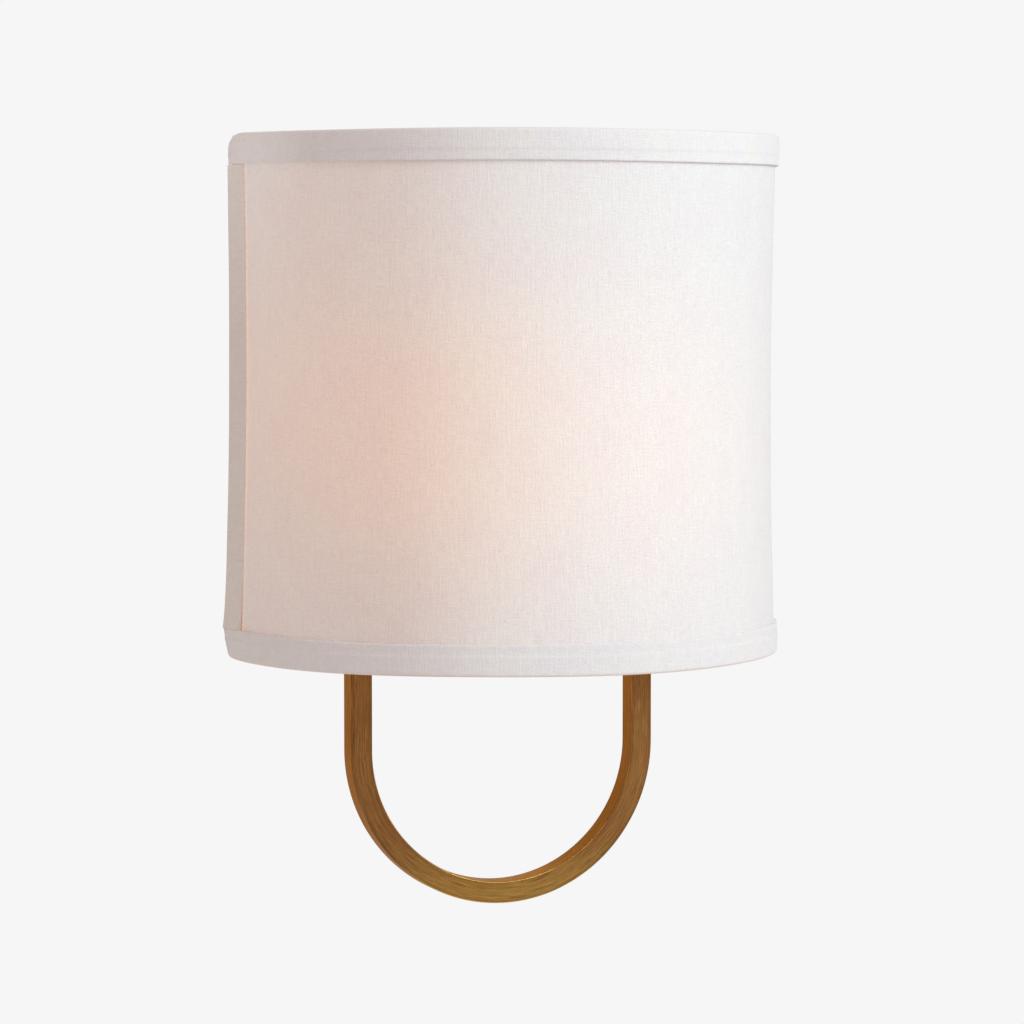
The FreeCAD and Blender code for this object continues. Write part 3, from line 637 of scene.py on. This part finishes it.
def hot_wire():
    """Glowing filament, unevenly hot."""
    paint = Paint("filament", Roughness=0.4)
    uneven = paint.noise(paint.place(), 600)
    paint.set("Base Color", paint.mix(uneven, (0.5, 0.3, 0.15, 1), (0.7, 0.5, 0.3, 1)))
    paint.set("Emission Color", paint.mix(uneven, (1.0, 0.5, 0.2, 1), (1.0, 0.75, 0.4, 1)))
    paint.set("Emission Strength", 20.0)
    return paint.material


# Cloth: its colour, and two tints that it drifts between
cloth_base = (0.811, 0.802, 0.802, 1)
band_base = (0.843, 0.820, 0.818, 1)
# The side bindings: a darker, warmer copy of the rim binding's cloth, painted shade
side_base = (0.828, 0.775, 0.735, 1)
pink_cream = ((1.0, 0.975, 0.98, 1), (1.0, 1.0, 0.985, 1))
lilac_sand = ((0.99, 0.98, 1.0, 1), (1.0, 1.0, 0.975, 1))
cloth = linen("linen", cloth_base, pink_cream, 0.9, 0.92, glow=lamps_through, foot=1.0,
              pale=(1.02, 1.10, 1.13, 1))
trim = linen("linen_binding", band_base, lilac_sand, 0.75, 0.94)
hem_trim = linen("hem_binding", band_base, lilac_sand, 0.75, 0.94, hem=warm_hem)
side_trim = linen("side_binding", side_base, lilac_sand, 0.75, 0.94)
bar_brass = brushed("bar_brass", "uv", brass_dark, 0.34)
arm_brass = {way: brushed("arm_brass_" + way, way, brass_dark, 0.36) for way in ("x", "y")}

# Plain finishes: colour, spots on it, specks to a metre, roughness, metallic
plain_finishes = {
    "zinc_steel": (colour(176, 178, 180), colour(140, 143, 146), 900, 0.38, 1.0),
    "earth_green": (colour(58, 128, 72), colour(46, 104, 60), 700, 0.4, 0.6),
    "white_frame": (colour(236, 234, 229), colour(222, 219, 212), 800, 0.45, 0.0),
    "candle_card": (colour(240, 235, 222), colour(226, 219, 203), 1200, 0.6, 0.0),
    "holder_plastic": (colour(70, 60, 54), colour(54, 47, 43), 600, 0.45, 0.0),
    "nickel": (colour(190, 186, 178), colour(160, 156, 149), 900, 0.28, 1.0),
    "contact_metal": (colour(188, 150, 90), colour(150, 116, 66), 900, 0.35, 1.0),
    "lead_insulation": (colour(60, 56, 52), colour(44, 41, 38), 900, 0.5, 0.0),
    "connector_plastic": (colour(206, 120, 48), colour(186, 104, 40), 800, 0.5, 0.0),
}
finishes = {name: speckled(name, *values) for name, values in plain_finishes.items()}
finishes["linen"] = cloth
finishes["linen_binding"] = trim
finishes["antique_brass"] = brushed("antique_brass", "turned", brass_mid, 0.38)
finishes["shade_liner"] = laminate()
finishes["bulb_glass"] = lit_glass()
finishes["filament"] = hot_wire()

for part in frame["record"]["subparts"]:
    finish = finishes[part["material_slot"]]
    if part["node"].startswith("cross_arm"):
        finish = arm_brass["x"]
    if part["node"].startswith("lamp_arm"):
        finish = arm_brass["y"]
    node_mesh = nodes[part["node"]].data
    node_mesh.materials.clear()
    node_mesh.materials.append(finish)


# ---------------------------------------------------------------- pieces

def dress(piece, body, material, slot, *replaced):
    piece.data.materials.append(material)
    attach(piece, body)
    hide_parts(*replaced)
    return piece


shade_linen = dress(make_fabric(), "shade", cloth, "linen", "shade_fabric")
band_top = dress(make_band("band_top", True), "shade", trim, "linen_binding", "binding_top")
band_bottom = dress(make_band("band_bottom", False), "shade", hem_trim, "linen_binding",
                    "binding_bottom")
band_left = dress(make_side_band("band_left", -1), "shade", side_trim, "linen_binding",
                  "side_binding_left")
band_right = dress(make_side_band("band_right", 1), "shade", side_trim, "linen_binding",
                   "side_binding_right")
brass_loop = dress(make_loop(), "wall_frame", bar_brass, "antique_brass", "u_bar")


# ---------------------------------------------------------------- floor, light and camera

floor_radius, floor_y, floor_z = 1.4, -0.1, -0.75
floor_corners = 96
ring = [(floor_radius * math.cos(angle), floor_y + floor_radius * math.sin(angle), floor_z)
        for angle in (TAU * i / floor_corners for i in range(floor_corners))]
floor_mesh = bpy.data.meshes.new("floor")
floor_mesh.from_pydata(ring, [], [tuple(range(floor_corners))])
floor_mesh.materials.append(speckled("floor", (0.84, 0.84, 0.84, 1), (0.82, 0.82, 0.82, 1),
                                     20, 0.8))
floor = add("floor", floor_mesh)

# The camera sees a pale backdrop, and the object is lit by a dimmer, warmer room
room_light = (0.685, 0.604, 0.572, 1)
world = bpy.data.worlds.new("studio")
bpy.context.scene.world = world
world.use_nodes = True
sky = world.node_tree
background = next(n for n in sky.nodes if n.type == "BACKGROUND")
path = sky.nodes.new("ShaderNodeLightPath")
choice = sky.nodes.new("ShaderNodeMix")
choice.data_type = "RGBA"
sky.links.new(path.outputs["Is Camera Ray"], choice.inputs["Factor"])
choice.inputs["A"].default_value = room_light
choice.inputs["B"].default_value = colour(246, 246, 246)
sky.links.new(next(s for s in choice.outputs if s.type == "RGBA"), background.inputs["Color"])

softbox = bpy.data.lights.new("daylight", "AREA")
softbox.shape = "RECTANGLE"
softbox.size, softbox.size_y = 0.9, 0.9
softbox.energy = 15.0
softbox.color = (0.82, 0.995, 1.07)
daylight = add("daylight", softbox)
daylight.location = Vector((0.82, -1.22, 0.66))
shade_middle = Vector((0, -0.08, -0.05))
daylight.rotation_euler = (shade_middle - daylight.location).to_track_quat("-Z", "Y").to_euler()

to_right = Vector((math.cos(camera_yaw), -math.sin(camera_yaw), 0))
facing = Vector((math.sin(camera_yaw) * math.cos(camera_pitch),
                 math.cos(camera_yaw) * math.cos(camera_pitch), -math.sin(camera_pitch)))
camera_data = bpy.data.cameras.new("camera")
camera_data.sensor_width = sensor_width
camera_data.lens = focal_pixels / image_pixels * sensor_width
camera = add("camera", camera_data)
camera.location = camera_centre + to_right * camera_aside - facing * camera_distance
camera.rotation_euler = facing.to_track_quat("-Z", "Y").to_euler()
bpy.context.scene.camera = camera
bpy.context.scene.view_settings.view_transform = "Standard"
